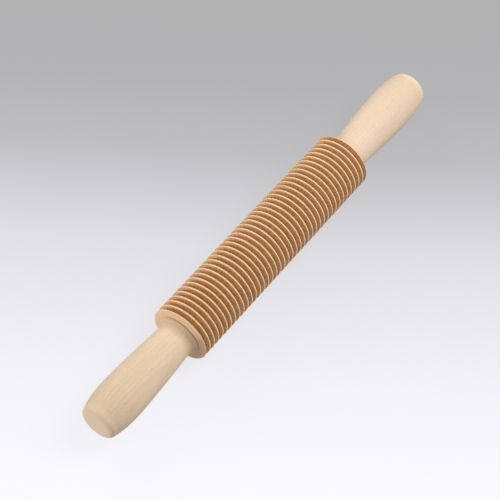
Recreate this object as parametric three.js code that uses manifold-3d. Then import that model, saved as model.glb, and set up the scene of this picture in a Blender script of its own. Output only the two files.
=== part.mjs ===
// Pasta cutter rolling pin: a ring-cut beech barrel that turns on a steel axle between two handles.
// Millimetres, +Z up. The origin is the middle of the barrel on its axis, and +X runs along the pin.
import * as THREE from 'three';
import { mergeVertices } from 'three/addons/utils/BufferGeometryUtils.js';
import Module from 'manifold-3d';

// Barrel: equal grooves leave thin cutting rings between them, and one more at each end.
const PITCH = 4;
const GROOVE_COUNT = 40;
const RING_RADIUS = 18.65;
const CREST_WIDTH = 0.75;
const GROOVE_DEPTH = 3.4;
const GROOVE_FLOOR_WIDTH = 1.6;
const END_RING_DROP = 0.75; // the outer edge of an end ring is eased down by this much
const END_CURVE_LENGTH = 1; // from the end ring's eased edge the barrel is rounded over to its flat end
const END_CURVE_DROP = 2.2;

// Axle: a steel rod with a threaded stub turned on each end.
const AXLE_RADIUS = 4;
const THREAD_RADIUS = 3;
const STUB_CHAMFER = 0.6;
const STUB_PAST_INSERT = 3;

// Flanged nylon bush let into each end of the barrel.
const BUSH_RADIUS = 6;
const BUSH_LENGTH = 18;
const BUSH_FLANGE_RADIUS = 8;
const BUSH_FLANGE_THICKNESS = 2;

// Washers and nut on each stub.
const WASHER_RADIUS = 6;
const THRUST_WASHER_THICKNESS = 1;
const STEEL_WASHER_THICKNESS = 1.6;
const NUT_ACROSS_FLATS = 10;
const NUT_THICKNESS = 5;
const NUT_CHAMFER_DEGREES = 30;

// Brass threaded insert in each handle, driven by a screwdriver slot.
const INSERT_RADIUS = 5;
const INSERT_LENGTH = 15;
const INSERT_LEAD_CHAMFER = 0.8;
const SLOT_WIDTH = 1.4;
const SLOT_DEPTH = 1.8;

// Handle: a lip against the barrel, a cove down to the neck, a long swell, a belly and a flat end.
const HANDLE_LENGTH = 73.7;
const LIP_RADIUS = 13.6;
const LIP_EDGE = 0.25;
const LIP_LENGTH = 2.2;
const SHOULDER_RADIUS = 12.6;
const SHOULDER_SLOPE = 1.2; // radius lost for each length where the lip turns into the cove
const COVE_LENGTH = 5;
const NECK_RADIUS = 11.5;
const BELLY_RADIUS = 13.85;
const BELLY_FROM_END = 20;
const SWELL_CONTROL = 2 / 3; // how far from neck to belly the swell's curve bends
const END_ROUND_LENGTH = 1.8;
const END_ROUND_RADIUS = 11.3; // handle radius where the end's rounding starts
const END_FACE_RADIUS = 9.8;

// Clearances.
const RUNNING_CLEARANCE = 0.06; // axle in bush
const SEAT_GAP = 0.3; // between pieces that seat on or in each other
const END_GAP = 0.3; // barrel's end to handle's lip
const BORE_CLEARANCE = 1; // axle in the middle of the barrel
const POCKET_CLEARANCE = 0.6; // nut and washers in the handle's counterbore

// Facets: an even number, set so that a flat lies straight up and straight down.
const WOOD_SIDES = 26;
const METAL_SIDES = 20;
const CURVE_STEPS = 4;
const MERGE_DISTANCE = 1e-4;

// Places along the pin, measured from the middle of the barrel outwards.
const grooved = (PITCH * GROOVE_COUNT) / 2;
const barrelEnd = grooved + END_CURVE_LENGTH;
const handleStart = barrelEnd + END_GAP;
const handleEnd = handleStart + HANDLE_LENGTH;
const thrustWasherStart = barrelEnd + SEAT_GAP;
const axleShoulder = thrustWasherStart + THRUST_WASHER_THICKNESS;
const steelWasherStart = axleShoulder + SEAT_GAP;
const nutStart = steelWasherStart + STEEL_WASHER_THICKNESS + SEAT_GAP;
const pocketFloor = nutStart + NUT_THICKNESS + SEAT_GAP;
const insertEnd = pocketFloor + INSERT_LENGTH;
const stubEnd = insertEnd + STUB_PAST_INSERT;

// Radii shared by pieces that fit each other.
const threadHole = THREAD_RADIUS + SEAT_GAP;
const nutCornerRadius = NUT_ACROSS_FLATS / Math.sqrt(3);
const pocketRadius = Math.max(WASHER_RADIUS, nutCornerRadius) + POCKET_CLEARANCE;

const wasm = await Module();
wasm.setup();

const beechBarrel = new THREE.MeshStandardMaterial({ color: 0xc79a6c, roughness: 0.62, metalness: 0 });
const beechHandle = new THREE.MeshStandardMaterial({ color: 0xe4cbac, roughness: 0.55, metalness: 0 });
const steel = new THREE.MeshStandardMaterial({ color: 0xb9bcc0, roughness: 0.3, metalness: 1 });
const nylon = new THREE.MeshStandardMaterial({ color: 0xece8dc, roughness: 0.5, metalness: 0 });
const brass = new THREE.MeshStandardMaterial({ color: 0xc9a452, roughness: 0.35, metalness: 1 });

const at = (radius, along) => new THREE.Vector2(radius, along);

// The corner radius of a hole whose flats lie at the stated radius, so that a round shaft clears it.
const hole = (radius, sides) => radius / Math.cos(Math.PI / sides);

// A solid turned about +Y from an outline of radius and place along the pin.
function revolve(outline, sides) {
  return new THREE.LatheGeometry(outline, sides, Math.PI / sides);
}

// A plain ring between two places along the pin.
function ring(innerRadius, outerRadius, start, end, sides) {
  const inner = hole(innerRadius, sides);
  const outline = [
    at(inner, start),
    at(outerRadius, start),
    at(outerRadius, end),
    at(inner, end),
    at(inner, start),
  ];
  return revolve(outline, sides);
}

function toSolid(geometry) {
  const bare = geometry.clone();
  bare.deleteAttribute('normal');
  bare.deleteAttribute('uv');
  const merged = mergeVertices(bare, MERGE_DISTANCE);
  const vertProperties = Float32Array.from(merged.attributes.position.array);
  const triVerts = Uint32Array.from(merged.index.array);
  return new wasm.Manifold(new wasm.Mesh({ numProp: 3, vertProperties, triVerts }));
}

function toGeometry(solid) {
  const mesh = solid.getMesh();
  const geometry = new THREE.BufferGeometry();
  geometry.setAttribute('position', new THREE.BufferAttribute(mesh.vertProperties, 3));
  geometry.setIndex(new THREE.BufferAttribute(mesh.triVerts, 1));
  geometry.computeVertexNormals();
  return geometry;
}

// Crests, tapered walls and flat floors of all the grooves, from one end of the barrel to the other.
function ringOutline() {
  const floorRadius = RING_RADIUS - GROOVE_DEPTH;
  const wallLength = (PITCH - CREST_WIDTH - GROOVE_FLOOR_WIDTH) / 2;
  const outline = [];
  for (let groove = 0; groove < GROOVE_COUNT; groove += 1) {
    const wallStart = groove * PITCH - grooved + CREST_WIDTH / 2;
    const floorStart = wallStart + wallLength;
    const floorEnd = floorStart + GROOVE_FLOOR_WIDTH;
    outline.push(at(RING_RADIUS, wallStart));
    outline.push(at(floorRadius, floorStart));
    outline.push(at(floorRadius, floorEnd));
    outline.push(at(RING_RADIUS, floorEnd + wallLength));
  }
  return outline;
}

// From the end ring's eased edge round to the flat end, then down the steps of the bush's seat to the bore.
function barrelEndOutline() {
  const seatRadius = BUSH_RADIUS + SEAT_GAP;
  const flangeSeatRadius = BUSH_FLANGE_RADIUS + SEAT_GAP;
  const flangeSeat = barrelEnd - BUSH_FLANGE_THICKNESS - SEAT_GAP;
  const seatBottom = barrelEnd - BUSH_LENGTH - SEAT_GAP;
  const easedRadius = RING_RADIUS - END_RING_DROP;
  const flatRadius = easedRadius - END_CURVE_DROP;
  const curveControl = (easedRadius + flatRadius) / 2;

  const outline = new THREE.Path();
  outline.moveTo(easedRadius, grooved);
  outline.quadraticCurveTo(curveControl, barrelEnd, flatRadius, barrelEnd);
  outline.lineTo(flangeSeatRadius, barrelEnd);
  outline.lineTo(flangeSeatRadius, flangeSeat);
  outline.lineTo(seatRadius, flangeSeat);
  outline.lineTo(seatRadius, seatBottom);
  outline.lineTo(AXLE_RADIUS + BORE_CLEARANCE, seatBottom);
  return outline.getPoints(CURVE_STEPS);
}

function barrel() {
  const farEnd = barrelEndOutline();
  const nearEnd = farEnd.map((point) => at(point.x, -point.y)).reverse();
  const outline = [...nearEnd, ...ringOutline(), ...farEnd, nearEnd[0]];
  return revolve(outline, WOOD_SIDES);
}

function axle() {
  const half = [
    at(AXLE_RADIUS, axleShoulder),
    at(THREAD_RADIUS, axleShoulder),
    at(THREAD_RADIUS, stubEnd - STUB_CHAMFER),
    at(THREAD_RADIUS - STUB_CHAMFER, stubEnd),
    at(0, stubEnd),
  ];
  const otherHalf = half.map((point) => at(point.x, -point.y)).reverse();
  return revolve([...otherHalf, ...half], METAL_SIDES);
}

function bush() {
  const bore = hole(AXLE_RADIUS + RUNNING_CLEARANCE, METAL_SIDES);
  const start = barrelEnd - BUSH_LENGTH;
  const flangeStart = barrelEnd - BUSH_FLANGE_THICKNESS;
  const outline = [
    at(bore, start),
    at(BUSH_RADIUS, start),
    at(BUSH_RADIUS, flangeStart),
    at(BUSH_FLANGE_RADIUS, flangeStart),
    at(BUSH_FLANGE_RADIUS, barrelEnd),
    at(bore, barrelEnd),
    at(bore, start),
  ];
  return revolve(outline, METAL_SIDES);
}

function thrustWasher() {
  const end = thrustWasherStart + THRUST_WASHER_THICKNESS;
  return ring(AXLE_RADIUS + SEAT_GAP, WASHER_RADIUS, thrustWasherStart, end, METAL_SIDES);
}

function steelWasher() {
  const end = steelWasherStart + STEEL_WASHER_THICKNESS;
  return ring(threadHole, WASHER_RADIUS, steelWasherStart, end, METAL_SIDES);
}

// A hexagon trimmed by a turned blank whose faces are chamfered down to the corners.
function lockNut() {
  const hexagon = new THREE.CylinderGeometry(nutCornerRadius, nutCornerRadius, NUT_THICKNESS, 6);
  hexagon.translate(0, nutStart + NUT_THICKNESS / 2, 0);
  const faceRadius = NUT_ACROSS_FLATS / 2;
  const rimRadius = nutCornerRadius + SEAT_GAP;
  const chamfer = (rimRadius - faceRadius) * Math.tan(THREE.MathUtils.degToRad(NUT_CHAMFER_DEGREES));
  const nutEnd = nutStart + NUT_THICKNESS;
  const bore = hole(threadHole, METAL_SIDES);
  const blank = [
    at(bore, nutStart),
    at(faceRadius, nutStart),
    at(rimRadius, nutStart + chamfer),
    at(rimRadius, nutEnd - chamfer),
    at(faceRadius, nutEnd),
    at(bore, nutEnd),
    at(bore, nutStart),
  ];
  return toGeometry(toSolid(hexagon).intersect(toSolid(revolve(blank, METAL_SIDES))));
}

// A threaded sleeve with a slot across the face that looks out of the handle.
function insert() {
  const bore = hole(threadHole, METAL_SIDES);
  const outline = [
    at(bore, pocketFloor),
    at(INSERT_RADIUS, pocketFloor),
    at(INSERT_RADIUS, insertEnd - INSERT_LEAD_CHAMFER),
    at(INSERT_RADIUS - INSERT_LEAD_CHAMFER, insertEnd),
    at(bore, insertEnd),
    at(bore, pocketFloor),
  ];
  const slot = new THREE.BoxGeometry(4 * INSERT_RADIUS, 2 * SLOT_DEPTH, SLOT_WIDTH);
  slot.translate(0, pocketFloor, 0);
  return toGeometry(toSolid(revolve(outline, METAL_SIDES)).subtract(toSolid(slot)));
}

// Stub hole, insert hole and nut pocket inside. Lip, cove, neck, swell, belly and rounded end outside.
function handle() {
  const insertHole = INSERT_RADIUS + SEAT_GAP;
  const insertHoleEnd = insertEnd + SEAT_GAP;
  const stubHoleEnd = stubEnd + SEAT_GAP;
  const shoulder = handleStart + LIP_LENGTH;
  const neck = shoulder + COVE_LENGTH;
  const belly = handleEnd - BELLY_FROM_END;
  const endRound = handleEnd - END_ROUND_LENGTH;
  const swellControl = neck + (belly - neck) * SWELL_CONTROL;
  const swellSlope = (BELLY_RADIUS - NECK_RADIUS) / (swellControl - neck);
  const lipControl = shoulder - (LIP_RADIUS - SHOULDER_RADIUS) / SHOULDER_SLOPE;
  const coveDrop = SHOULDER_RADIUS - NECK_RADIUS + swellSlope * COVE_LENGTH;
  const coveControl = shoulder + coveDrop / (SHOULDER_SLOPE + swellSlope);
  const taperControl = (belly + endRound) / 2;
  const taperSlope = (BELLY_RADIUS - END_ROUND_RADIUS) / (endRound - taperControl);

  const outline = new THREE.Path();
  outline.moveTo(0, stubHoleEnd);
  outline.lineTo(threadHole, stubHoleEnd);
  outline.lineTo(threadHole, insertHoleEnd);
  outline.lineTo(insertHole, insertHoleEnd);
  outline.lineTo(insertHole, pocketFloor);
  outline.lineTo(pocketRadius, pocketFloor);
  outline.lineTo(pocketRadius, handleStart);
  outline.lineTo(LIP_RADIUS - LIP_EDGE, handleStart);
  outline.lineTo(LIP_RADIUS, handleStart + LIP_EDGE);
  outline.quadraticCurveTo(LIP_RADIUS, lipControl, SHOULDER_RADIUS, shoulder);
  const coveRadius = SHOULDER_RADIUS - SHOULDER_SLOPE * (coveControl - shoulder);
  outline.quadraticCurveTo(coveRadius, coveControl, NECK_RADIUS, neck);
  outline.quadraticCurveTo(BELLY_RADIUS, swellControl, BELLY_RADIUS, belly);
  outline.quadraticCurveTo(BELLY_RADIUS, taperControl, END_ROUND_RADIUS, endRound);
  const endControl = END_ROUND_RADIUS - taperSlope * END_ROUND_LENGTH;
  outline.quadraticCurveTo(endControl, handleEnd, END_FACE_RADIUS, handleEnd);
  outline.lineTo(0, handleEnd);
  return revolve(outline.getPoints(CURVE_STEPS), WOOD_SIDES);
}

function named(name, geometry, material) {
  const mesh = new THREE.Mesh(geometry, material);
  mesh.name = name;
  return mesh;
}

// The middle of the pin and its two ends lie along X. The left end is the right one turned round.
const ALONG_PLUS_X = -Math.PI / 2;
const ALONG_MINUS_X = Math.PI / 2;

const pin = new THREE.Group();
const core = new THREE.Group();
core.rotation.z = ALONG_PLUS_X;
core.add(named('barrel', barrel(), beechBarrel));
core.add(named('axle', axle(), steel));
pin.add(core);

for (const [side, direction] of [['left', ALONG_MINUS_X], ['right', ALONG_PLUS_X]]) {
  const end = new THREE.Group();
  end.rotation.z = direction;
  end.add(named(`${side}_bush`, bush(), nylon));
  end.add(named(`${side}_thrust_washer`, thrustWasher(), nylon));
  end.add(named(`${side}_washer`, steelWasher(), steel));
  end.add(named(`${side}_lock_nut`, lockNut(), steel));
  end.add(named(`${side}_insert`, insert(), brass));
  end.add(named(`${side}_handle`, handle(), beechHandle));
  pin.add(end);
}

export default pin;
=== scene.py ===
# %% [markdown]
# # A ring-cut pasta pin
# The object is a small beech rolling pin. Its barrel is cut all round with thin rings, which slice a sheet
# of pasta into ribbons, and it turns on a hidden steel axle between two plain turned handles. The places of
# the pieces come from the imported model, which is loaded first and never moved. Everything here is in
# metres, in the same frame: +X runs along the pin, and +Z is up.

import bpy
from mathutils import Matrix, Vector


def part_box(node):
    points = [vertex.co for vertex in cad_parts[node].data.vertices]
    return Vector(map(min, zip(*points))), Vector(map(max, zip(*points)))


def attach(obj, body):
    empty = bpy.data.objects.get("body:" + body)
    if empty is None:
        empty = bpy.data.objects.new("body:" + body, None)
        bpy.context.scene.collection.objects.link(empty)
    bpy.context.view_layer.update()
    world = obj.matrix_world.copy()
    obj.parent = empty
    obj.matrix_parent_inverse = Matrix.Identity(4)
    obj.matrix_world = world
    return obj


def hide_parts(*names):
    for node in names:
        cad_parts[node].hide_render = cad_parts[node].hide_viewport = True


MM = 0.001

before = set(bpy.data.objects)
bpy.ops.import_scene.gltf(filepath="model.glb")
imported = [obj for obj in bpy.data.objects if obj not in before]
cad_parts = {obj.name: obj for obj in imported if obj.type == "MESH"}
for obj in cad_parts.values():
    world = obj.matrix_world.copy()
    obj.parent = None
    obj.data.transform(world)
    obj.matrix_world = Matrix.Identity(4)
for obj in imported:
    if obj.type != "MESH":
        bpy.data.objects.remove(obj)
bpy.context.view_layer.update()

# %% [markdown]
# ## The camera
# The pin lies level, seen from above its nearer, left-hand end. A long lens far away keeps the rings almost
# parallel, as in a studio picture. The camera could be dragged into place by eye, but two angles, a
# distance and a point to look at are easier to read and repeat.

# %% Place the camera
import math

import bpy
from mathutils import Color, Vector

CAMERA_AZIMUTH = math.radians(-53.35)
CAMERA_ELEVATION = math.radians(53.17)
CAMERA_DISTANCE = 1.0903
CAMERA_AIM = Vector((-0.0082, 0.0039, 0.0))
CAMERA_LENS = 133.58


def add_object(name, data):
    """Links a new object that holds this data to the scene."""
    made = bpy.data.objects.new(name, data)
    bpy.context.scene.collection.objects.link(made)
    return made


def aim(thing, place, target):
    """Puts a camera or lamp at a place and points it at a target."""
    thing.location = place
    thing.rotation_euler = (target - place).to_track_quat("-Z", "Y").to_euler()


back = Vector((
    math.sin(CAMERA_AZIMUTH) * math.cos(CAMERA_ELEVATION),
    -math.cos(CAMERA_AZIMUTH) * math.cos(CAMERA_ELEVATION),
    math.sin(CAMERA_ELEVATION),
))
camera = add_object("camera", bpy.data.cameras.new("camera"))
camera.data.lens = CAMERA_LENS
aim(camera, CAMERA_AIM + back * CAMERA_DISTANCE, CAMERA_AIM)
bpy.context.scene.camera = camera
print("camera at", [round(c, 4) for c in camera.location])

# %% [markdown]
# ## Building node trees in code
# Materials and Geometry Nodes are both trees of nodes joined by links. They could be drawn by hand in the
# node editor, but a script can be read, repeated and changed in one place. A few helpers keep the later
# cells short: they fill and add nodes, do sums, stretch values, mix colours, make ramps, join and split
# vectors, and start materials.

# %% Helpers for node trees
MIX_FACTOR, MIX_FIRST, MIX_SECOND, MIX_RESULT = 0, 6, 7, 2  # the colour sockets of a Mix node


def fill(tree, node, inputs):
    """Fills a node's named or numbered inputs. A socket, or another node's first output, is linked."""
    for key, value in inputs.items():
        if isinstance(value, bpy.types.Node):
            value = value.outputs[0]
        if isinstance(value, bpy.types.NodeSocket):
            tree.links.new(value, node.inputs[key])
        else:
            node.inputs[key].default_value = value


def add(tree, kind, inputs=None, **settings):
    """Adds a node with these settings and fills its inputs."""
    node = tree.nodes.new(kind)
    for setting, value in settings.items():
        setattr(node, setting, value)
    fill(tree, node, inputs or {})
    return node


def calc(tree, operation, *values):
    """The result of one sum on nodes, sockets or numbers."""
    return add(tree, "ShaderNodeMath", dict(enumerate(values)), operation=operation).outputs[0]


def vector_calc(tree, operation, *values):
    """The node of one sum on vectors."""
    return add(tree, "ShaderNodeVectorMath", dict(enumerate(values)), operation=operation)


def remap(tree, value, low, high, to_low=0.0, to_high=1.0):
    """A value stretched from one span to another, and held inside it."""
    spans = {"Value": value, "From Min": low, "From Max": high, "To Min": to_low, "To Max": to_high}
    return add(tree, "ShaderNodeMapRange", spans).outputs[0]


def mix(tree, factor, first, second, blend="MIX"):
    """Two colours mixed, in the way that blend names."""
    inputs = {MIX_FACTOR: factor, MIX_FIRST: first, MIX_SECOND: second}
    return add(tree, "ShaderNodeMix", inputs, data_type="RGBA", blend_type=blend).outputs[MIX_RESULT]


def shade(red, green, blue):
    """A colour written as 0 to 255 on screen, in the linear numbers that shaders use."""
    linear = Color((red / 255, green / 255, blue / 255)).from_srgb_to_scene_linear()
    return (*linear, 1.0)


def ramp(tree, factor, stops):
    """A colour ramp through stops of place and colour."""
    node = add(tree, "ShaderNodeValToRGB", {"Fac": factor})
    elements = node.color_ramp.elements
    while len(elements) < len(stops):
        elements.new(1.0)
    for element, (place, colour) in zip(elements, stops):
        element.position = place
        element.color = colour
    return node.outputs["Color"]


def vector(tree, x=0.0, y=0.0, z=0.0):
    """A vector joined from sockets or numbers."""
    return add(tree, "ShaderNodeCombineXYZ", {"X": x, "Y": y, "Z": z}).outputs[0]


def split(tree, place):
    """The X, Y and Z of a vector."""
    return add(tree, "ShaderNodeSeparateXYZ", {0: place}).outputs


def new_material(name):
    """A material made of nodes. Returns it and its tree."""
    material = bpy.data.materials.new(name)
    material.use_nodes = True
    return material, material.node_tree


print("white as a shader sees it:", shade(255, 255, 255))

# %% [markdown]
# ## The floor
# The pin lies on a plain pale surface that runs from white in front to soft grey behind. That could be a
# lit white table, but the fall to grey would then need uneven lamps, and they would tint the wood. So the
# floor's own colour changes with distance. A camera ray sees it mostly as its plain colour, which keeps the
# shadow as soft as in a light tent. The light it throws back is one duller grey, so undersides stay dark.

# %% Lay the floor
RING_RADIUS = 18.65 * MM
FLOOR_SIZE = 40.0
FLOOR_NEAR = -161 * MM
FLOOR_FAR = 218 * MM
FLOOR_TURN = math.radians(5)
FLOOR_SHADOW = 0.12
FLOOR_BOUNCE = shade(172, 172, 173)
FLOOR_TONES = (
    (0.0, shade(251, 250, 254)),
    (0.2, shade(243, 242, 247)),
    (0.45, shade(224, 223, 228)),
    (0.65, shade(190, 190, 193)),
    (0.8, shade(179, 179, 181)),
    (1.0, shade(175, 175, 176)),
)


def floor_finish():
    """White near the camera and grey behind, along a line close to the one that the camera looks in."""
    material, tree = new_material("pale_floor")
    tree.nodes.clear()
    place = add(tree, "ShaderNodeTexCoord").outputs["Object"]
    heading = CAMERA_AZIMUTH - FLOOR_TURN
    ahead = (-math.sin(heading), math.cos(heading), 0.0)
    depth = vector_calc(tree, "DOT_PRODUCT", place, ahead).outputs["Value"]
    colour = ramp(tree, remap(tree, depth, FLOOR_NEAR, FLOOR_FAR), FLOOR_TONES)
    path = add(tree, "ShaderNodeLightPath").outputs
    mirrored = calc(tree, "MAXIMUM", path["Is Glossy Ray"], path["Is Transmission Ray"])
    seen = calc(tree, "MAXIMUM", path["Is Camera Ray"], mirrored)
    lit = add(tree, "ShaderNodeBsdfDiffuse", {"Color": mix(tree, seen, FLOOR_BOUNCE, colour)})
    plain = add(tree, "ShaderNodeEmission", {"Color": colour})
    share = calc(tree, "MULTIPLY", seen, 1.0 - FLOOR_SHADOW)
    both = add(tree, "ShaderNodeMixShader", {0: share, 1: lit, 2: plain})
    add(tree, "ShaderNodeOutputMaterial", {"Surface": both})
    return material


half = FLOOR_SIZE / 2
floor_mesh = bpy.data.meshes.new("floor")
floor_mesh.from_pydata(
    [(x, y, -RING_RADIUS) for x, y in ((-half, -half), (half, -half), (half, half), (-half, half))],
    [], [(0, 1, 2, 3)],
)
floor_mesh.materials.append(floor_finish())
floor = add_object("floor", floor_mesh)
print("floor at z, mm:", round(-RING_RADIUS / MM, 2))

# %% [markdown]
# ## Three lamps
# Small things are photographed under big soft lamps, so that no shadow has a hard edge. A key lamp hangs
# over the pin's far right, and a weaker fill stands across from it. A third, small and low, faces the
# nearer end: it lights the cut end of the handle, but comes in too flat to reach down the grooves, which
# stay dark. A brighter sky alone would be simpler, but it would light the grooves as much as the crests.

# %% Hang the lamps
SKY_LIGHT = 0.36
SKY_TONE = shade(250, 250, 252)
LAMPS = {
    "key": {"place": Vector((0.5, -0.57, 0.92)), "watts": 10.9, "size": 0.7},
    "fill": {"place": Vector((0.3, 0.92, 0.62)), "watts": 4.3, "size": 0.5},
    "low": {"place": Vector((-1.0, 0.56, 0.135)), "watts": 4.0, "size": 0.25},
}

world = bpy.data.worlds.new("light_tent")
world.use_nodes = True
sky = world.node_tree
fill(sky, sky.nodes["Background"], {"Color": SKY_TONE, "Strength": SKY_LIGHT})
bpy.context.scene.world = world
for name, lamp in LAMPS.items():
    light = bpy.data.lights.new(name, "AREA")
    light.energy = lamp["watts"]
    light.size = lamp["size"]
    aim(add_object(name, light), lamp["place"], Vector((0.0, 0.0, 0.0)))
bpy.context.scene.view_settings.view_transform = "Standard"
print("lamps, watts:", {name: lamp["watts"] for name, lamp in LAMPS.items()})

# %% [markdown]
# ## Beech
# Beech is a pale, close wood. Its yearly rings are faint bands, its fibres run straight along the pin, and
# short brown flecks, which are its rays cut across, lie all over it. A picture of wood wrapped round the
# pin would show a seam and stretch at the ends. Here the wood is a solid: each point's colour comes from
# its place in an imaginary trunk whose middle, the pith, lies outside the pin. The sides then show long
# figures and the ends show arcs, as real turned pieces do.

# %% Grain of the beech
RING_OF_GROWTH = 2.4 * MM
RING_DRIFT = 3 * MM
DRIFT_GRAIN = (60 * MM, 14 * MM, 14 * MM)
LATE_WOOD = (0.1, 0.9)
LATE_RISE = 2.0
ACROSS_THE_PIN = (0.0, 1.0, 1.0)


def stretched_noise(tree, place, size, detail=2.0):
    """Noise whose grains have this size along X, Y and Z, from about 0 to 1."""
    spread = vector_calc(tree, "MULTIPLY", place, tuple(1.0 / length for length in size))
    return add(tree, "ShaderNodeTexNoise", {"Vector": spread, "Scale": 1.0, "Detail": detail})


def off_axis(tree, place):
    """The way across the pin from its axis to a place, and how long that is."""
    outward = vector_calc(tree, "MULTIPLY", place, ACROSS_THE_PIN)
    return outward, vector_calc(tree, "LENGTH", outward).outputs["Value"]


def growth_rings(tree, place, pith, lean):
    """From 0 in early wood to 1 in late wood, round a pith that leans a little off the pin's axis."""
    trunk = add(tree, "ShaderNodeMapping", {"Vector": place, "Location": pith, "Rotation": lean})
    _, distance = off_axis(tree, trunk)
    drift = stretched_noise(tree, place, DRIFT_GRAIN)
    wandering = calc(tree, "MULTIPLY_ADD", drift, RING_DRIFT, distance)
    year = calc(tree, "FRACT", calc(tree, "DIVIDE", wandering, RING_OF_GROWTH))
    start, peak = LATE_WOOD
    rise = calc(tree, "POWER", remap(tree, year, start, peak), LATE_RISE)
    return calc(tree, "MULTIPLY", rise, remap(tree, year, peak, 1.0, 1.0, 0.0))


print("a ring of growth, mm:", round(RING_OF_GROWTH / MM, 2))

# %% Beech finish
FIBRE_GRAIN = (24 * MM, 0.5 * MM, 0.5 * MM)
FIBRE_DETAIL = 3.0
CLOUD_GRAIN = (45 * MM, 12 * MM, 12 * MM)
RAY_GRAIN = (2.6 * MM, 0.34 * MM, 0.34 * MM)
RAY_DETAIL = 1.0
PORE_GRAIN = (0.6 * MM, 0.45 * MM, 0.45 * MM)
TOOL_GRAIN = (0.35 * MM, 30 * MM, 30 * MM)
NOISE_MIDDLE = (0.3, 0.7)
BAND_SHARE, FIBRE_SHARE, CLOUD_SHARE = 0.3, 0.4, 0.4
TONE_SETBACK = 0.15
FLECK_SPAN = (0.6, 0.72)
FLECK_SHARE = 0.5
CUT_ACROSS = (0.9, 0.995)
PORE_SHARE = (0.6, 1.0)
FIBRE_HEIGHT, TOOL_HEIGHT = 0.6, 0.4
BUMP_STRENGTH = 0.25
BUMP_DEPTH = 0.05 * MM
WOOD_ROUGHNESS = (0.5, 0.66)
WOOD_GLOSS = 0.35


def beech(name, tones, pith, lean):
    """Solid beech in tones of early wood, late wood, flecks and cut ends. Returns it and its parts."""
    material, tree = new_material(name)
    wood = tree.nodes["Principled BSDF"]
    coordinates = add(tree, "ShaderNodeTexCoord")
    place = coordinates.outputs["Object"]
    early, late, fleck, cut_end_and_light = (shade(*tone) for tone in tones)

    fibre = stretched_noise(tree, place, FIBRE_GRAIN, FIBRE_DETAIL)
    bands = growth_rings(tree, place, pith, lean)
    cloud = stretched_noise(tree, place, CLOUD_GRAIN)
    tone = remap(tree, fibre, *NOISE_MIDDLE, -TONE_SETBACK, FIBRE_SHARE - TONE_SETBACK)
    tone = calc(tree, "MULTIPLY_ADD", bands, BAND_SHARE, tone)
    tone = calc(tree, "MULTIPLY_ADD", cloud, CLOUD_SHARE, tone)
    colour = mix(tree, tone, early, late)
    rays = stretched_noise(tree, place, RAY_GRAIN, RAY_DETAIL)
    colour = mix(tree, remap(tree, rays, *FLECK_SPAN, 0.0, FLECK_SHARE), colour, fleck)

    facing = split(tree, coordinates.outputs["Normal"])["X"]
    cut_across = remap(tree, calc(tree, "ABSOLUTE", facing), *CUT_ACROSS)
    pores = stretched_noise(tree, place, PORE_GRAIN)
    # Cut ends: partly the end grain's own tone, and on the handles partly painted light.
    end_grain_and_light = mix(tree, remap(tree, pores, *NOISE_MIDDLE, *PORE_SHARE), colour, cut_end_and_light)
    colour = mix(tree, cut_across, colour, end_grain_and_light)

    tool_marks = stretched_noise(tree, place, TOOL_GRAIN)
    height = calc(tree, "MULTIPLY_ADD", fibre, FIBRE_HEIGHT, calc(tree, "MULTIPLY", tool_marks, TOOL_HEIGHT))
    bump = add(tree, "ShaderNodeBump", {"Strength": BUMP_STRENGTH, "Distance": BUMP_DEPTH, "Height": height})
    fill(tree, wood, {
        "Base Color": colour,
        "Roughness": remap(tree, fibre, *NOISE_MIDDLE, *WOOD_ROUGHNESS),
        "Specular IOR Level": WOOD_GLOSS,
        "Normal": bump,
    })
    parts = {"tree": tree, "wood": wood, "place": place, "colour": colour, "cut_across": cut_across}
    return material, parts


# The handles' cut-end tone is paler than their sides: partly end grain, partly painted light on the end
# faces.
left_beech, left_parts = beech(
    "left_handle_beech", ((236, 211, 181), (224, 195, 162), (204, 170, 134), (251, 228, 196)),
    pith=(0.0, 31 * MM, -17 * MM), lean=(0.0, 0.03, 0.02),
)
right_beech, right_parts = beech(
    "right_handle_beech", ((237, 213, 186), (227, 199, 169), (208, 175, 140), (251, 228, 196)),
    pith=(0.0, -26 * MM, -21 * MM), lean=(0.0, -0.025, 0.03),
)
barrel_beech, barrel_parts = beech(
    "ring_cut_beech", ((254, 215, 174), (248, 202, 157), (222, 171, 125), (254, 215, 174)),
    pith=(0.0, -38 * MM, 12 * MM), lean=(0.0, -0.02, 0.03),
)
print("wood finishes:", left_beech.name, right_beech.name, barrel_beech.name)

# %% [markdown]
# ## Painted shade and light on the handles
# The handles' colour changes along the pin, and that change is painted light and shade. The lip and cove
# beside the barrel get painted shade where the barrel's end shades them, and so does the grip, darker
# towards the end where it tapers away from the lamps. The rounded end gets a painted highlight. A darker
# tone for the whole handle would look dyed at the factory. Noise breaks the tone up, and the cut ends are
# left out of it.

# %% Paint shade and light on the handles
# Painted shade and light along the handles, by distance from the middle of the pin.
PAINTED_SHADE_SPAN = (82 * MM, 156 * MM)
PAINTED_SHADE_AND_LIGHT = (
    (0.0, (1.0, 0.95, 0.90, 1.0)),
    (0.02, (0.97, 0.91, 0.84, 1.0)),
    (0.055, (0.90, 0.86, 0.80, 1.0)),
    (0.1, (1.0, 1.0, 1.0, 1.0)),
    (0.175, (1.0, 1.0, 1.0, 1.0)),
    (0.9, (0.91, 0.89, 0.86, 1.0)),
    (0.955, (1.04, 1.03, 0.99, 1.0)),
    (0.985, (1.18, 1.16, 1.12, 1.0)),
)
SHADE_PATCH_GRAIN = (16 * MM, 9 * MM, 9 * MM)
SHADE_PATCH_SHARE = (0.7, 1.0)


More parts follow.
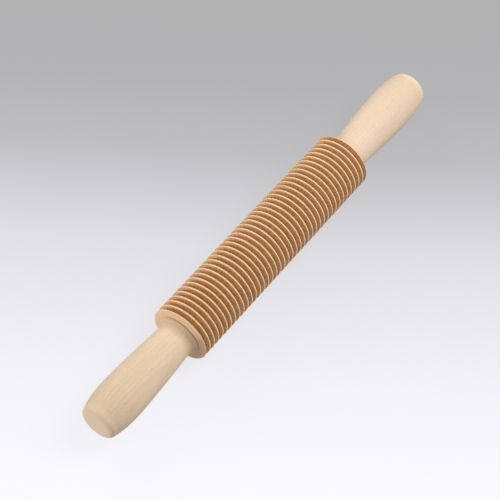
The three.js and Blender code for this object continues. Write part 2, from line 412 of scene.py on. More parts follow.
def paint_handle_shade(parts):
    """Painted shade in a handle's lip, cove and grip, and a painted highlight on its rounded end."""
    tree = parts["tree"]
    along = split(tree, parts["place"])["X"]
    tone = ramp(tree, remap(tree, calc(tree, "ABSOLUTE", along), *PAINTED_SHADE_SPAN), PAINTED_SHADE_AND_LIGHT)
    patches = remap(tree, stretched_noise(tree, parts["place"], SHADE_PATCH_GRAIN), *NOISE_MIDDLE, *SHADE_PATCH_SHARE)
    side_grain = calc(tree, "SUBTRACT", 1.0, parts["cut_across"])
    # The painted shade and highlight go on the side grain only, broken up by noise.
    toned = mix(tree, calc(tree, "MULTIPLY", patches, side_grain), parts["colour"], tone, "MULTIPLY")
    fill(tree, parts["wood"], {"Base Color": toned})


for handle_parts in (left_parts, right_parts):
    paint_handle_shade(handle_parts)
print("handles toned from the middle, mm:", [round(place / MM) for place in PAINTED_SHADE_SPAN])

# %% [markdown]
# ## Painted shade down the grooves
# The grooves get painted shade: their colour turns browner and darker with depth below the crests, where the
# rings shade each other, so it follows the cut all round. The end rings' outer edges get a painted
# highlight.
# Fine marks run from the crest down each wall, where the fibres were torn. The brown could be painted on by
# hand, but a rule on the radius has no seam and fits every ring.

# %% Paint shade into the grooves
GROOVE_DEPTH = 3.4 * MM
GROOVED_LENGTH = 160 * MM
PALE_END = 0.3 * MM
# A painted highlight: a paler colour along the outer edge of each end ring's crest.
HIGHLIGHT_WIDTH = (0.1 * MM, 0.4 * MM)
HIGHLIGHT_TONE = shade(255, 224, 186)
HIGHLIGHT_SHARE = 0.9
# Painted shade: the tint grows browner and darker with depth into the grooves.
GROOVE_SHADE_TONES = (
    (0.04, (1.0, 1.0, 1.0, 1.0)),
    (0.16, (0.80, 0.74, 0.62, 1.0)),
    (0.5, (0.77, 0.71, 0.57, 1.0)),
    (1.0, (0.60, 0.53, 0.37, 1.0)),
)
MARK_WIDTH = 0.45 * MM
MARK_LENGTH = 2 * MM
MARK_SPAN = (0.46, 0.54)
MARK_SHARE = 0.5
MARK_TONE = (0.62, 0.55, 0.42, 1.0)
MARK_START = (0.08, 0.2)


def torn_marks(tree, along, side, up, radius):
    """From 0 to the marks' share, in marks that run straight out from the axis and are thin round it."""
    marks_across = RING_RADIUS / MARK_WIDTH
    turn_y = calc(tree, "MULTIPLY", calc(tree, "DIVIDE", side, radius), marks_across)
    turn_z = calc(tree, "MULTIPLY", calc(tree, "DIVIDE", up, radius), marks_across)
    ring_number = calc(tree, "DIVIDE", along, MARK_LENGTH)
    place = vector(tree, ring_number, turn_y, turn_z)
    noise = add(tree, "ShaderNodeTexNoise", {"Vector": place, "Scale": 1.0, "Detail": 0.0})
    return remap(tree, noise, *MARK_SPAN, 0.0, MARK_SHARE)


def paint_groove_shade(parts):
    """Painted shade by depth below the crests, up to the end rings, and a painted highlight on their edges.
    """
    tree = parts["tree"]
    along, side, up = split(tree, parts["place"])
    _, radius = off_axis(tree, parts["place"])
    depth = remap(tree, radius, RING_RADIUS, RING_RADIUS - GROOVE_DEPTH)
    last = GROOVED_LENGTH / 2
    from_middle = calc(tree, "ABSOLUTE", along)
    between = remap(tree, from_middle, last - PALE_END, last, 1.0, 0.0)
    from_edge = calc(tree, "ABSOLUTE", calc(tree, "SUBTRACT", from_middle, last))
    groove_shade = ramp(tree, depth, GROOVE_SHADE_TONES)
    torn = mix(tree, torn_marks(tree, along, side, up, radius), groove_shade, MARK_TONE, "MULTIPLY")
    streaked = mix(tree, remap(tree, depth, *MARK_START), groove_shade, torn)
    shaded = mix(tree, between, parts["colour"], streaked, "MULTIPLY")
    # The painted highlight on the end rings' edges.
    highlighted = mix(tree, remap(tree, from_edge, *HIGHLIGHT_WIDTH, HIGHLIGHT_SHARE, 0.0), shaded, HIGHLIGHT_TONE)
    fill(tree, parts["wood"], {"Base Color": highlighted})


paint_groove_shade(barrel_parts)
print("grooves stained to a depth of, mm:", round(GROOVE_DEPTH / MM, 2))

# %% [markdown]
# ## A lathe made of nodes
# All the wood is turned, so each piece is an outline swung round the axis. Blender's Spin tool or a Screw
# modifier would do it. A small node group is used instead, because the barrel's tree needs it inside: it
# lays the outline out as a profile, sweeps the profile round a circle, and welds what meets on the axis. An
# outline is a chain of edges with the place along the pin in X and the radius in Y.

# %% The turning group
HUB_RADIUS = 6 * MM
WELD = 0.002 * MM
ONTO_THE_PIN = (0.0, math.pi / 2, 0.0)
TURNED_INPUTS = {"Outline": "NodeSocketGeometry", "Sides": "NodeSocketInt", "Finish": "NodeSocketMaterial"}


def new_tree(name, inputs):
    """A geometry tree with named inputs and one geometry output. Returns the tree and its input node."""
    tree = bpy.data.node_groups.new(name, "GeometryNodeTree")
    for label, kind in inputs.items():
        tree.interface.new_socket(name=label, in_out="INPUT", socket_type=kind)
    tree.interface.new_socket(name="Geometry", in_out="OUTPUT", socket_type="NodeSocketGeometry")
    return tree, add(tree, "NodeGroupInput")


def finish_tree(tree, geometry, finish):
    """Ends a tree: instances become real, and the finish goes on."""
    real = add(tree, "GeometryNodeRealizeInstances", {"Geometry": geometry})
    finished = add(tree, "GeometryNodeSetMaterial", {"Geometry": real, "Material": finish})
    add(tree, "NodeGroupOutput", {"Geometry": finished})


def turning_group():
    """Turns an outline about the X axis and gives it a finish."""
    tree, given = new_tree("turn_on_axis", TURNED_INPUTS)
    along, radius, _ = split(tree, add(tree, "GeometryNodeInputPosition"))
    outward = calc(tree, "SUBTRACT", radius, HUB_RADIUS)
    backward = calc(tree, "MULTIPLY", along, -1.0)
    laid = vector(tree, outward, backward)
    flat = add(tree, "GeometryNodeSetPosition", {"Geometry": given.outputs["Outline"], "Position": laid})
    profile = add(tree, "GeometryNodeMeshToCurve", {"Mesh": flat})
    circle = {"Resolution": given.outputs["Sides"], "Radius": HUB_RADIUS}
    hub = add(tree, "GeometryNodeCurvePrimitiveCircle", circle, mode="RADIUS").outputs["Curve"]
    swept = add(tree, "GeometryNodeCurveToMesh", {"Curve": hub, "Profile Curve": profile})
    welded = add(tree, "GeometryNodeMergeByDistance", {"Geometry": swept, "Distance": WELD})
    turned = add(tree, "GeometryNodeTransform", {"Geometry": welded, "Rotation": ONTO_THE_PIN})
    finish_tree(tree, turned, given.outputs["Finish"])
    return tree


turn_on_axis = turning_group()
print("turning group has", len(turn_on_axis.nodes), "nodes")

# %% [markdown]
# ## The barrel's tree
# One groove is a chain of six corners: half a crest, a tapered wall, a flat floor, the other wall and half
# the next crest. The tree rounds its corners, repeats it along the pin, adds the barrel's two ends with the
# seats for the bushes, welds it all into one closed outline, and turns that. An Array modifier on a
# finished ring would work too, but it would leave forty shells pushed into each other where the real barrel
# is one piece. Last, a little noise takes the machine-made edge off the crests.

# %% Chains of edges
CORNER_STEPS = 2
END_CURVE_STEPS = 10


def chain(tree, corners, corner_round):
    """A chain of edges through corners, which are places along the pin and radii, with each rounded."""
    picker = add(tree, "GeometryNodeIndexSwitch", data_type="VECTOR")
    while len(picker.index_switch_items) < len(corners):
        picker.index_switch_items.new()
    places = {number: vector(tree, *corner) for number, corner in enumerate(corners, 1)}
    fill(tree, picker, {0: add(tree, "GeometryNodeInputIndex"), **places})
    line = add(tree, "GeometryNodeMeshLine", {"Count": len(corners)})
    bent = add(tree, "GeometryNodeSetPosition", {"Geometry": line, "Position": picker})
    curve = add(tree, "GeometryNodeMeshToCurve", {"Mesh": bent})
    rounding = {"Curve": curve, "Count": CORNER_STEPS, "Radius": corner_round}
    rounded = add(tree, "GeometryNodeFilletCurve", {**rounding, "Limit Radius": True}, mode="POLY")
    return add(tree, "GeometryNodeCurveToMesh", {"Curve": rounded})


def groove_chain(tree, size):
    """One groove, centred, from the middle of one crest to the middle of the next."""
    half_pitch = calc(tree, "MULTIPLY", size["Pitch"], 0.5)
    crest_edge = calc(tree, "SUBTRACT", half_pitch, calc(tree, "MULTIPLY", size["Crest width"], 0.5))
    half_floor = calc(tree, "MULTIPLY", size["Floor width"], 0.5)
    crest = size["Ring radius"]
    floor_radius = calc(tree, "SUBTRACT", crest, size["Groove depth"])
    rising = [(half_floor, floor_radius), (crest_edge, crest), (half_pitch, crest)]
    falling = [(calc(tree, "MULTIPLY", along, -1.0), radius) for along, radius in reversed(rising)]
    return chain(tree, falling + rising, size["Corner round"])


def joined(tree, parts):
    """Several geometries as one."""
    node = add(tree, "GeometryNodeJoinGeometry")
    for part in parts:
        fill(tree, node, {0: part})
    return node


def end_outline(tree, size, grooved):
    """The right-hand end: rounded over to the flat face, then the bush's seats and half the bore."""
    eased = calc(tree, "SUBTRACT", size["Ring radius"], size["End ring drop"])
    flat = calc(tree, "SUBTRACT", eased, size["End curve drop"])
    middle = calc(tree, "MULTIPLY", calc(tree, "ADD", eased, flat), 0.5)
    end = size["Barrel end"]
    curve = add(tree, "GeometryNodeCurveQuadraticBezier", {
        "Resolution": END_CURVE_STEPS,
        "Start": vector(tree, grooved, eased),
        "Middle": vector(tree, end, middle),
        "End": vector(tree, end, flat),
    })
    rounded = add(tree, "GeometryNodeCurveToMesh", {"Curve": curve})
    corners = [
        (end, flat),
        (end, size["Flange seat radius"]),
        (size["Flange seat"], size["Flange seat radius"]),
        (size["Flange seat"], size["Bush seat radius"]),
        (size["Bush seat"], size["Bush seat radius"]),
        (size["Bush seat"], size["Bore radius"]),
        (0.0, size["Bore radius"]),
    ]
    return joined(tree, (rounded, chain(tree, corners, size["Corner round"])))


print("a groove's corners are rounded in steps:", CORNER_STEPS)

# %% Easing and wear
WEAR_GRAIN = (2.2 * MM, 2.2 * MM, 2.2 * MM)
WEAR_REACH = 0.6 * MM


def ease_end_rings(tree, outline, size, grooved):
    """Lowers the outer edge of each end ring, where a real barrel is eased so that it doesn't splinter."""
    along = split(tree, add(tree, "GeometryNodeInputPosition"))["X"]
    miss = calc(tree, "ABSOLUTE", calc(tree, "SUBTRACT", calc(tree, "ABSOLUTE", along), grooved))
    at_edge = calc(tree, "LESS_THAN", miss, WELD)
    shift = vector(tree, y=calc(tree, "MULTIPLY", size["End ring drop"], -1.0))
    moves = {"Geometry": outline, "Selection": at_edge, "Offset": shift}
    return add(tree, "GeometryNodeSetPosition", moves)


def sink(tree, geometry, depth_rule):
    """Moves each point of a turned piece towards the axis, by a rule on its place and radius."""
    place = add(tree, "GeometryNodeInputPosition")
    outward, radius = off_axis(tree, place)
    straight = vector_calc(tree, "NORMALIZE", outward)
    inward = calc(tree, "MULTIPLY", depth_rule(place, radius), -1.0)
    shift = add(tree, "ShaderNodeVectorMath", {0: straight, "Scale": inward}, operation="SCALE")
    return add(tree, "GeometryNodeSetPosition", {"Geometry": geometry, "Offset": shift})


def wear_crests(tree, turned, size):
    """Takes a hair off the crests here and there, as on worn and sanded edges."""
    def wear(place, radius):
        lowest = calc(tree, "SUBTRACT", size["Ring radius"], WEAR_REACH)
        near_crest = remap(tree, radius, lowest, size["Ring radius"])
        rough = stretched_noise(tree, place, WEAR_GRAIN)
        return calc(tree, "MULTIPLY", calc(tree, "MULTIPLY", near_crest, size["Wear"]), rough)

    return sink(tree, turned, wear)


print("crests wear over a depth of, mm:", round(WEAR_REACH / MM, 2))

# %% Build the barrel's tree
FLANGE_SEAT_DEPTH = 2.3 * MM
BUSH_SEAT_DEPTH = 18.3 * MM
barrel_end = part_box("barrel")[1].x
BARREL_SIZES = {
    "Pitch": 4 * MM,
    "Ring radius": RING_RADIUS,
    "Crest width": 0.75 * MM,
    "Groove depth": GROOVE_DEPTH,
    "Floor width": 1.6 * MM,
    "Corner round": 0.1 * MM,
    "End ring drop": 0.2 * MM,
    "End curve drop": 2.75 * MM,
    "Barrel end": barrel_end,
    "Flange seat": barrel_end - FLANGE_SEAT_DEPTH,
    "Flange seat radius": 8.3 * MM,
    "Bush seat": barrel_end - BUSH_SEAT_DEPTH,
    "Bush seat radius": 6.3 * MM,
    "Bore radius": 5 * MM,
    "Wear": 0.1 * MM,
}
BARREL_COUNTS = {"Grooves": 40, "Sides": 160}
MIRRORED_ALONG = (-1.0, 1.0, 1.0)


def barrel_tree():
    """Grooves repeated along the pin, two ends, one weld, one turn and a little wear."""
    inputs = {name: "NodeSocketFloat" for name in BARREL_SIZES}
    inputs.update({name: "NodeSocketInt" for name in BARREL_COUNTS})
    inputs["Finish"] = "NodeSocketMaterial"
    tree, given = new_tree("ring_cut_barrel", inputs)
    size = given.outputs
    grooved = calc(tree, "MULTIPLY", calc(tree, "MULTIPLY", size["Pitch"], size["Grooves"]), 0.5)
    first = calc(tree, "SUBTRACT", calc(tree, "MULTIPLY", size["Pitch"], 0.5), grooved)
    row = add(tree, "GeometryNodeMeshLine", {
        "Count": size["Grooves"],
        "Start Location": vector(tree, first),
        "Offset": vector(tree, size["Pitch"]),
    })
    copies = {"Points": row, "Instance": groove_chain(tree, size)}
    grooves = add(tree, "GeometryNodeInstanceOnPoints", copies)
    real = add(tree, "GeometryNodeRealizeInstances", {"Geometry": grooves})
    eased = ease_end_rings(tree, real, size, grooved)
    right = end_outline(tree, size, grooved)
    left = add(tree, "GeometryNodeTransform", {"Geometry": right, "Scale": MIRRORED_ALONG})
    parts = joined(tree, (eased, right, left))
    outline = add(tree, "GeometryNodeMergeByDistance", {"Geometry": parts, "Distance": WELD})
    turning = {"Outline": outline, "Sides": size["Sides"], "Finish": size["Finish"]}
    turned = add(tree, "GeometryNodeGroup", turning, node_tree=turn_on_axis)
    finish_tree(tree, wear_crests(tree, turned, size), size["Finish"])
    return tree


ring_cut_barrel = barrel_tree()
print("barrel tree has", len(ring_cut_barrel.nodes), "nodes")

# %% Turn the barrel
import bmesh

SHARP_ANGLE = math.radians(38)


def plain_piece(name, mesh, tree, settings):
    """Runs a tree on a mesh and returns what it makes as a plain object with its faces outwards."""
    rough = add_object(name + "_blank", mesh)
    modifier = rough.modifiers.new(tree.name, "NODES")
    modifier.node_group = tree
    for socket in tree.interface.items_tree:
        if socket.in_out == "INPUT" and socket.name in settings:
            modifier[socket.identifier] = settings[socket.name]
    graph = bpy.context.evaluated_depsgraph_get()
    made = bpy.data.meshes.new_from_object(rough.evaluated_get(graph))
    bpy.data.objects.remove(rough)
    shell = bmesh.new()
    shell.from_mesh(made)
    bmesh.ops.recalc_face_normals(shell, faces=shell.faces)
    if shell.calc_volume(signed=True) < 0:
        bmesh.ops.reverse_faces(shell, faces=shell.faces)
    open_edges = sum(not edge.is_manifold for edge in shell.edges)
    volume = shell.calc_volume(signed=True) / MM ** 3
    shell.to_mesh(made)
    shell.free()
    made.shade_smooth()
    made.set_sharp_from_angle(angle=SHARP_ANGLE)
    made.name = name
    print(name, "faces", len(made.polygons), "open edges", open_edges, "volume, mm3:", round(volume))
    return add_object(name, made)


pieces = {}
pieces["barrel"] = plain_piece(
    "turned_barrel", bpy.data.meshes.new("barrel_blank"), ring_cut_barrel,
    {**BARREL_SIZES, **BARREL_COUNTS, "Finish": barrel_beech},
)

# %% [markdown]
# ## The handles
# Each handle is turned from one piece of paler beech. A thin lip covers the joint with the barrel, and it
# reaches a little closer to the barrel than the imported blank. A cove leads down to the neck, and the grip
# swells to a belly near the end, which is flat with a rounded edge. Inside are the pocket for the nut and
# washers, the hole for the threaded insert and the hole for the axle's tip. The outline could be drawn as a
# Bezier curve by hand, but a few named sizes and one curve rule say more clearly which part is which.

# %% Draw the handle's outline
LIP_RADIUS = 14.2 * MM
LIP_EDGE = 0.15 * MM
LIP_REACH = 0.15 * MM
LIP_LENGTH = 2.2 * MM
SHOULDER_RADIUS = 12.6 * MM
SHOULDER_SLOPE = 1.2
COVE_LENGTH = 5 * MM
NECK_RADIUS = 11.5 * MM
BELLY_RADIUS = 13.85 * MM
BELLY_FROM_END = 20 * MM
SWELL_CONTROL = 2 / 3
END_ROUND_LENGTH = 2.7 * MM
END_ROUND_RADIUS = 11.6 * MM
END_FACE_RADIUS = 6.8 * MM
POCKET_RADIUS = 6.6 * MM
INSERT_HOLE_RADIUS = 5.3 * MM
STUB_HOLE_RADIUS = 3.3 * MM
HOLE_GAP = 0.3 * MM
CURVE_STEPS = 12


def span(node):
    """Where a node of the right-hand end starts and ends along the pin."""
    low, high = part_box(node)
    return low.x, high.x


def bend(start, control, end):
    """Points along a curve that leaves start and reaches end in the directions of a control point."""
    start, control, end = Vector(start), Vector(control), Vector(end)
    shares = [step / CURVE_STEPS for step in range(1, CURVE_STEPS + 1)]
    return [start.lerp(control, share).lerp(control.lerp(end, share), share)[:] for share in shares]


def handle_outline():
    """Place along the pin and radius, from the bottom of the axle's hole round to the middle of the end."""
    blank_start, end = span("right_handle")
    start = blank_start - LIP_REACH
    pocket_floor, insert_end = span("right_insert")
    stub_end = span("axle")[1]
    shoulder = start + LIP_LENGTH
    neck = shoulder + COVE_LENGTH
    belly = end - BELLY_FROM_END
    round_start = end - END_ROUND_LENGTH
    swell_control = neck + (belly - neck) * SWELL_CONTROL
    swell_slope = (BELLY_RADIUS - NECK_RADIUS) / (swell_control - neck)
    lip_control = shoulder - (LIP_RADIUS - SHOULDER_RADIUS) / SHOULDER_SLOPE
    cove_drop = SHOULDER_RADIUS - NECK_RADIUS + swell_slope * COVE_LENGTH
    cove_control = shoulder + cove_drop / (SHOULDER_SLOPE + swell_slope)
    cove_radius = SHOULDER_RADIUS - SHOULDER_SLOPE * (cove_control - shoulder)
    taper_control = (belly + round_start) / 2
    taper_slope = (BELLY_RADIUS - END_ROUND_RADIUS) / (round_start - taper_control)
    end_control = END_ROUND_RADIUS - taper_slope * END_ROUND_LENGTH
    outline = [
        (stub_end + HOLE_GAP, 0.0),
        (stub_end + HOLE_GAP, STUB_HOLE_RADIUS),
        (insert_end + HOLE_GAP, STUB_HOLE_RADIUS),
        (insert_end + HOLE_GAP, INSERT_HOLE_RADIUS),
        (pocket_floor, INSERT_HOLE_RADIUS),
        (pocket_floor, POCKET_RADIUS),
        (start, POCKET_RADIUS),
        (start, LIP_RADIUS - LIP_EDGE),
        (start + LIP_EDGE, LIP_RADIUS),
    ]
    for control, reached in (
        ((lip_control, LIP_RADIUS), (shoulder, SHOULDER_RADIUS)),
        ((cove_control, cove_radius), (neck, NECK_RADIUS)),
        ((swell_control, BELLY_RADIUS), (belly, BELLY_RADIUS)),
        ((taper_control, BELLY_RADIUS), (round_start, END_ROUND_RADIUS)),
        ((end, end_control), (end, END_FACE_RADIUS)),
    ):
        outline += bend(outline[-1], control, reached)
    return outline + [(end, 0.0)]


right_outline = handle_outline()
print("handle outline has", len(right_outline), "points")

# %% Turn the handles
WOOD_SIDES = 160
SIDES_OF_PIN = {"left": -1, "right": 1}


def mirrored(outline, direction):
    """An outline of the right-hand end as it is, or on the left where the direction is -1."""
    return [(direction * along, radius) for along, radius in outline]


def outline_mesh(name, outline, closed):
    """An outline as a mesh of edges, joined from its last point to its first where it is closed."""
    corners = [(along, radius, 0.0) for along, radius in outline]
    edges = [(number, number + 1) for number in range(len(corners) - 1)]
    if closed:
        edges.append((len(corners) - 1, 0))
    mesh = bpy.data.meshes.new(name + "_outline")
    mesh.from_pydata(corners, edges, [])
    return mesh


def side_piece(side, name, outline, tree, settings, closed=True):
    """The piece of one side, made by a tree from the right-hand outline."""
    blank = outline_mesh(side + name, mirrored(outline, SIDES_OF_PIN[side]), closed)
    return plain_piece(side + name, blank, tree, settings)


for side, finish in (("left", left_beech), ("right", right_beech)):
    settings = {"Sides": WOOD_SIDES, "Finish": finish}
    pieces[side + "_handle"] = side_piece(
        side, "_turned_handle", right_outline, turn_on_axis, settings, closed=False,
    )

# %% [markdown]
# ## Finishes of the hidden hardware
# The axle, bushes, washers, nuts and inserts are closed in by the wood and can't be seen until the pin is
# taken apart. One recipe covers them all: noise stretched along the tool's path, which tints the colour,
# shifts the roughness and lifts the surface a little. Turned metal gets thin rings, and moulded nylon a
# soft mottle. A plain grey or white would do from far off, but it would look like plastic in the hand.

# %% Finish the metal and nylon
MARK_DARKENING = 0.82
ROUGHNESS_SWING = (-0.06, 0.08)
HARDWARE_BUMP = 0.2
HARDWARE_BUMP_DEPTH = 0.02 * MM
METAL, PLASTIC = 1.0, 0.0


def machined(name, tone, metallic, roughness, grain):
    """A finish with marks of this size along and across the axis, and a roughness that varies a little."""
    material, tree = new_material(name)
    shader = tree.nodes["Principled BSDF"]
    colour = shade(*tone)
    darker = (*(channel * MARK_DARKENING for channel in colour[:3]), 1.0)
    marks = stretched_noise(tree, add(tree, "ShaderNodeTexCoord").outputs["Object"], grain)
    smoothest, roughest = (roughness + swing for swing in ROUGHNESS_SWING)
    bumps = {"Strength": HARDWARE_BUMP, "Distance": HARDWARE_BUMP_DEPTH, "Height": marks}
    fill(tree, shader, {
        "Base Color": mix(tree, marks, colour, darker),
        "Metallic": metallic,
        "Roughness": remap(tree, marks, *NOISE_MIDDLE, smoothest, roughest),
        "Normal": add(tree, "ShaderNodeBump", bumps),
    })
    return material


steel = machined("turned_steel", (196, 198, 201), METAL, 0.3, (0.2 * MM, 8 * MM, 8 * MM))
brass = machined("machined_brass", (205, 168, 88), METAL, 0.34, (0.25 * MM, 6 * MM, 6 * MM))
nylon = machined("moulded_nylon", (236, 232, 220), PLASTIC, 0.45, (3 * MM, 3 * MM, 3 * MM))
print("hardware finishes:", steel.name, brass.name, nylon.name)

# %% [markdown]
# ## Bushes and washers
# A flanged nylon bush is let into each end of the barrel, which turns on the axle with it. Outside it a
# nylon thrust washer takes the push of the hands, and a steel washer sits against the axle's shoulder. They
# are plain rings, so the lathe makes them too. Each corner is cut back a little, as moulded and stamped
# edges are. A Bevel modifier could do that after turning, but on an outline it is one short rule.

# %% Turn the bushes and washers
HARDWARE_SIDES = 64
AXLE_RADIUS = 4 * MM
RUNNING_GAP = 0.06 * MM
BUSH_RADIUS = 6 * MM
FLANGE_RADIUS = 8 * MM
FLANGE_THICKNESS = 2 * MM
WASHER_RADIUS = 6 * MM
THRUST_WASHER_HOLE = 4.3 * MM
STEEL_WASHER_HOLE = 3.3 * MM
MOULDED_EDGE = 0.3 * MM
STAMPED_EDGE = 0.15 * MM


def eased_corners(corners, edge):
    """A closed outline with each corner cut back by this much along both of its sides."""
    points = []
    corners = [Vector(corner) for corner in corners]
    for number, corner in enumerate(corners):
        for neighbour in (corners[number - 1], corners[(number + 1) % len(corners)]):
            points.append((corner + (neighbour - corner).normalized() * edge)[:])
    return points


def washer_outline(node, hole):
    """A flat ring where the node is."""
    start, end = span(node)
    corners = [(start, hole), (start, WASHER_RADIUS), (end, WASHER_RADIUS), (end, hole)]
    return eased_corners(corners, STAMPED_EDGE)


def bush_outline():
    """A sleeve on the axle with a flange at the barrel's end."""
    start, end = span("right_bush")
    bore = AXLE_RADIUS + RUNNING_GAP
    flange = end - FLANGE_THICKNESS
    corners = [(start, bore), (start, BUSH_RADIUS), (flange, BUSH_RADIUS), (flange, FLANGE_RADIUS)]
    return eased_corners(corners + [(end, FLANGE_RADIUS), (end, bore)], MOULDED_EDGE)


RINGS = (
    ("_bush", "_flanged_bush", bush_outline(), nylon),
    ("_thrust_washer", "_nylon_washer", washer_outline("right_thrust_washer", THRUST_WASHER_HOLE), nylon),
    ("_washer", "_steel_washer", washer_outline("right_washer", STEEL_WASHER_HOLE), steel),
)
for side in SIDES_OF_PIN:
    for node, name, outline, finish in RINGS:
        settings = {"Sides": HARDWARE_SIDES, "Finish": finish}
        pieces[side + node] = side_piece(side, name, outline, turn_on_axis, settings)

# %% [markdown]
# ## Cutting a thread
# The axle's ends carry a 6 mm screw thread, which the nut and the brass insert run on. A thread is a groove
# that climbs one pitch in each turn. The usual way is a profile swept along a helix, but its ends then have
# to be buried in the rod. Here the rod is turned first, with several rows of points to each pitch, and a
# rule sinks each point by how far round and along it lies. The same rule cuts a nut's inside, so they fit.

# %% The threading group
THREAD_INPUTS = ("Radius", "Start", "End", "Pitch", "Depth")
THREAD_REACH = 0.02 * MM
THREAD_FLAT = 0.06
HALF_TURN = 0.5


def threading_group():
    """Cuts a right-hand thread into a turned surface, between two distances from the middle."""
    inputs = {"Turned": "NodeSocketGeometry", **{name: "NodeSocketFloat" for name in THREAD_INPUTS}}
    tree, given = new_tree("cut_thread", inputs)
    size = given.outputs

    def thread(place, radius):
        along, side, up = split(tree, place)
        miss = calc(tree, "ABSOLUTE", calc(tree, "SUBTRACT", radius, size["Radius"]))
        on_surface = calc(tree, "LESS_THAN", miss, THREAD_REACH)
        turn = calc(tree, "DIVIDE", calc(tree, "ARCTAN2", side, up), 2 * math.pi)
        climb = calc(tree, "ADD", calc(tree, "DIVIDE", along, size["Pitch"]), turn)
        wave = calc(tree, "PINGPONG", climb, HALF_TURN)
        groove = remap(tree, wave, THREAD_FLAT, HALF_TURN - THREAD_FLAT)
        distance = calc(tree, "ABSOLUTE", along)
        run_in = remap(tree, distance, size["Start"], calc(tree, "ADD", size["Start"], size["Pitch"]))
        run_out = remap(tree, distance, size["End"], calc(tree, "SUBTRACT", size["End"], size["Pitch"]))
        full = calc(tree, "MULTIPLY", calc(tree, "MINIMUM", run_in, run_out), size["Depth"])
        return calc(tree, "MULTIPLY", calc(tree, "MULTIPLY", groove, on_surface), full)

    add(tree, "NodeGroupOutput", {"Geometry": sink(tree, size["Turned"], thread)})
    return tree


cut_thread = threading_group()
print("threading group has", len(cut_thread.nodes), "nodes")

# %% Trees for threaded pieces
def threaded_tree(name, more_sizes, shape):
    """Turns an outline, cuts a thread and shapes the result further. Its sizes are inputs by name."""
    sizes = ["Thread " + label.lower() for label in THREAD_INPUTS] + list(more_sizes)
    tree, given = new_tree(name, {**TURNED_INPUTS, **{label: "NodeSocketFloat" for label in sizes}})
    size = given.outputs
    turning = {label: size[label] for label in TURNED_INPUTS}
    turned = add(tree, "GeometryNodeGroup", turning, node_tree=turn_on_axis)
    finish_tree(tree, shape(tree, threaded(tree, turned, size, "Thread "), size), size["Finish"])
    return tree


def threaded(tree, geometry, size, kind):
    """A thread of the named kind cut into a geometry."""
    inputs = {label: size[kind + label.lower()] for label in THREAD_INPUTS}
    return add(tree, "GeometryNodeGroup", {"Turned": geometry, **inputs}, node_tree=cut_thread)


def points_between(start, end, spacing):
    """Points on a straight line, both ends included, no further apart than the spacing."""
    start, end = Vector(start), Vector(end)
    count = math.ceil((end - start).length / spacing)
    return [start.lerp(end, number / count)[:] for number in range(count + 1)]


print("threaded trees take:", ", ".join(THREAD_INPUTS).lower())

# %% [markdown]
# ## The axle
# The axle is an 8 mm steel rod. At each end it steps down to a threaded stub, and the step is the shoulder
# that the steel washer sits against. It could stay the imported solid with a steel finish, but a real rod is
# round and its threads are cut, so it is turned and threaded here.

# %% Turn and thread the axle
THREAD_RADIUS = 3 * MM
THREAD_PITCH = 1 * MM
THREAD_DEPTH = 0.5 * MM
ROWS_IN_A_PITCH = 8
STUB_CHAMFER = 0.6 * MM
SHOULDER_EDGE = 0.2 * MM

stub_start = span("right_thrust_washer")[1]
stub_end = span("axle")[1]
thread_row = THREAD_PITCH / ROWS_IN_A_PITCH
right_half = [
    (stub_start - SHOULDER_EDGE, AXLE_RADIUS),
    (stub_start, AXLE_RADIUS - SHOULDER_EDGE),
    *points_between((stub_start, THREAD_RADIUS), (stub_end - STUB_CHAMFER, THREAD_RADIUS), thread_row),
    (stub_end, THREAD_RADIUS - STUB_CHAMFER),
    (stub_end, 0.0),
]
left_half = mirrored(right_half, SIDES_OF_PIN["left"])[::-1]
thread_sizes = {
    "Thread radius": THREAD_RADIUS,
    "Thread start": stub_start,
    "Thread end": stub_end,
    "Thread pitch": THREAD_PITCH,
    "Thread depth": THREAD_DEPTH,
}
threaded_rod = threaded_tree("threaded_rod", (), lambda tree, geometry, size: geometry)
pieces["axle"] = plain_piece(
    "threaded_axle", outline_mesh("threaded_axle", left_half + right_half, closed=False), threaded_rod,
    {"Sides": HARDWARE_SIDES, "Finish": steel, **thread_sizes},
)

# %% [markdown]
# ## The lock nuts
# A nut starts as a turned blank with sloping rims, and six flats are then milled on it. Where a flat meets
# the slope, the edge comes out curved, as on every real nut. A hexagon cut by a cone with a Boolean gives
# the same, but the milling is a rule as simple as the thread's: no point may lie outside the hexagon.

# %% Turn, thread and mill the nuts
NUT_SIDES = 96
NUT_FLATS = 6
ACROSS_FLATS = 10 * MM
RIM_SLOPE = math.radians(30)
RIM_SPARE = 0.3 * MM
RIM_ROWS = 0.15 * MM
THREAD_GAP = 0.1 * MM
BORE_LEAD = 0.3 * MM


def mill_flats(tree, geometry, size):
    """Sinks every point outside a hexagon to its flats. One of its corners points straight up."""
    def over(place, radius):
        _, side, up = split(tree, place)
        one_flat = 2 * math.pi / NUT_FLATS
        from_corner = calc(tree, "WRAP", calc(tree, "ARCTAN2", side, up), one_flat, 0.0)
        from_middle = calc(tree, "SUBTRACT", from_corner, one_flat / 2)
        half_width = calc(tree, "MULTIPLY", size["Across flats"], 0.5)
        limit = calc(tree, "DIVIDE", half_width, calc(tree, "COSINE", from_middle))
        return calc(tree, "MAXIMUM", calc(tree, "SUBTRACT", radius, limit), 0.0)

    return sink(tree, geometry, over)


def threaded_bore(start, end):
    """The hole of a nut or an insert, along the pin, with a short lead at each end."""
    bore = THREAD_RADIUS + THREAD_GAP
    inside = points_between((start + BORE_LEAD, bore), (end - BORE_LEAD, bore), thread_row)
    return [(start, bore + BORE_LEAD), *inside, (end, bore + BORE_LEAD)]


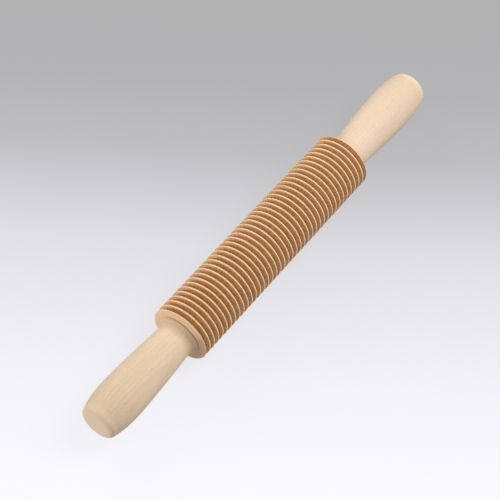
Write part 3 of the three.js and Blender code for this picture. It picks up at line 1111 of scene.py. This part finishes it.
def nut_outline():
    """A turned blank, wide enough for the hexagon's corners."""
    start, end = span("right_lock_nut")
    face = ACROSS_FLATS / 2
    rim = face / math.cos(math.pi / NUT_FLATS) + RIM_SPARE
    slope = (rim - face) * math.tan(RIM_SLOPE)
    far_rim = points_between((end, face), (end - slope, rim), RIM_ROWS)
    near_rim = points_between((start + slope, rim), (start, face), RIM_ROWS)
    return threaded_bore(start, end) + far_rim + near_rim


def bore_thread(node):
    """The sizes of the thread inside a nut or an insert."""
    start, end = span(node)
    bore = THREAD_RADIUS + THREAD_GAP
    return {**thread_sizes, "Thread radius": bore, "Thread start": start, "Thread end": end}


hexagon_nut = threaded_tree("hexagon_nut", ("Across flats",), mill_flats)
right_nut = nut_outline()
nut_settings = {
    "Sides": NUT_SIDES,
    "Finish": steel,
    **bore_thread("right_lock_nut"),
    "Across flats": ACROSS_FLATS,
}
for side in SIDES_OF_PIN:
    pieces[side + "_lock_nut"] = side_piece(side, "_hexagon_nut", right_nut, hexagon_nut, nut_settings)

# %% [markdown]
# ## The brass inserts
# Each handle holds a brass sleeve with a coarse thread outside, which bites into the wood, and a fine one
# inside for the axle. A slot across its face takes a screwdriver when it is driven in. The two threads come
# from the same group with other sizes. The slot has square walls that no rule on the points could give
# cleanly, so it is cut with a Boolean.

# %% Turn, thread and slot the inserts
INSERT_RADIUS = 5 * MM
INSERT_LEAD = 0.8 * MM
WOOD_THREAD_PITCH = 2 * MM
WOOD_THREAD_DEPTH = 0.7 * MM
SLOT_WIDTH = 1.4 * MM
SLOT_DEPTH = 1.8 * MM
CUTTER_DEPTHS = 2.0  # the cutter is centred on the face, so half of it cuts
CUTTER_RADII = 4.0
INSERT_INPUTS = (*("Wood " + label.lower() for label in THREAD_INPUTS), "Face", "Slot width", "Slot depth")


def screw_and_slot(tree, geometry, size):
    """Cuts the coarse thread outside and the slot across the face."""
    screwed = threaded(tree, geometry, size, "Wood ")
    height = calc(tree, "MULTIPLY", size["Slot depth"], CUTTER_DEPTHS)
    length = calc(tree, "MULTIPLY", size["Wood radius"], CUTTER_RADII)
    block = vector(tree, height, length, size["Slot width"])
    cutter = add(tree, "GeometryNodeMeshCube", {"Size": block})
    face = vector(tree, size["Face"])
    placed = add(tree, "GeometryNodeTransform", {"Geometry": cutter, "Translation": face})
    parts = {"Mesh 1": screwed, "Mesh 2": placed}
    return add(tree, "GeometryNodeMeshBoolean", parts, operation="DIFFERENCE", solver="EXACT")


def insert_outline():
    """A sleeve whose far end is cut back so that it starts in the wood."""
    start, end = span("right_insert")
    row = WOOD_THREAD_PITCH / ROWS_IN_A_PITCH
    outside = points_between((end - INSERT_LEAD, INSERT_RADIUS), (start, INSERT_RADIUS), row)
    return threaded_bore(start, end) + [(end, INSERT_RADIUS - INSERT_LEAD), *outside]


slotted_insert = threaded_tree("slotted_insert", INSERT_INPUTS, screw_and_slot)
right_insert = insert_outline()
insert_start, insert_end = span("right_insert")
insert_settings = {
    "Sides": HARDWARE_SIDES,
    "Finish": brass,
    **bore_thread("right_insert"),
    "Wood radius": INSERT_RADIUS,
    "Wood start": insert_start,
    "Wood end": insert_end - INSERT_LEAD,
    "Wood pitch": WOOD_THREAD_PITCH,
    "Wood depth": WOOD_THREAD_DEPTH,
    "Slot width": SLOT_WIDTH,
    "Slot depth": SLOT_DEPTH,
}
for side, direction in SIDES_OF_PIN.items():
    settings = {**insert_settings, "Face": direction * insert_start}
    pieces[side + "_insert"] = side_piece(side, "_slotted_insert", right_insert, slotted_insert, settings)

# %% [markdown]
# ## Joining the looks to the moving bodies
# The barrel and its bushes turn with the roller body, and everything else stays with the frame that the
# hands hold. Each fine piece stands for its imported solid, which is then not shown. The pieces could be
# parented by hand; here a loop parents each one.

# %% Ride on the bodies
ON_ROLLER = ("barrel", "left_bush", "right_bush")
for node, piece in pieces.items():
    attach(piece, "roller" if node in ON_ROLLER else "handle_frame")
    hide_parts(node)
print("pieces:", len(pieces), "of", len(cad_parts), "packed solids")
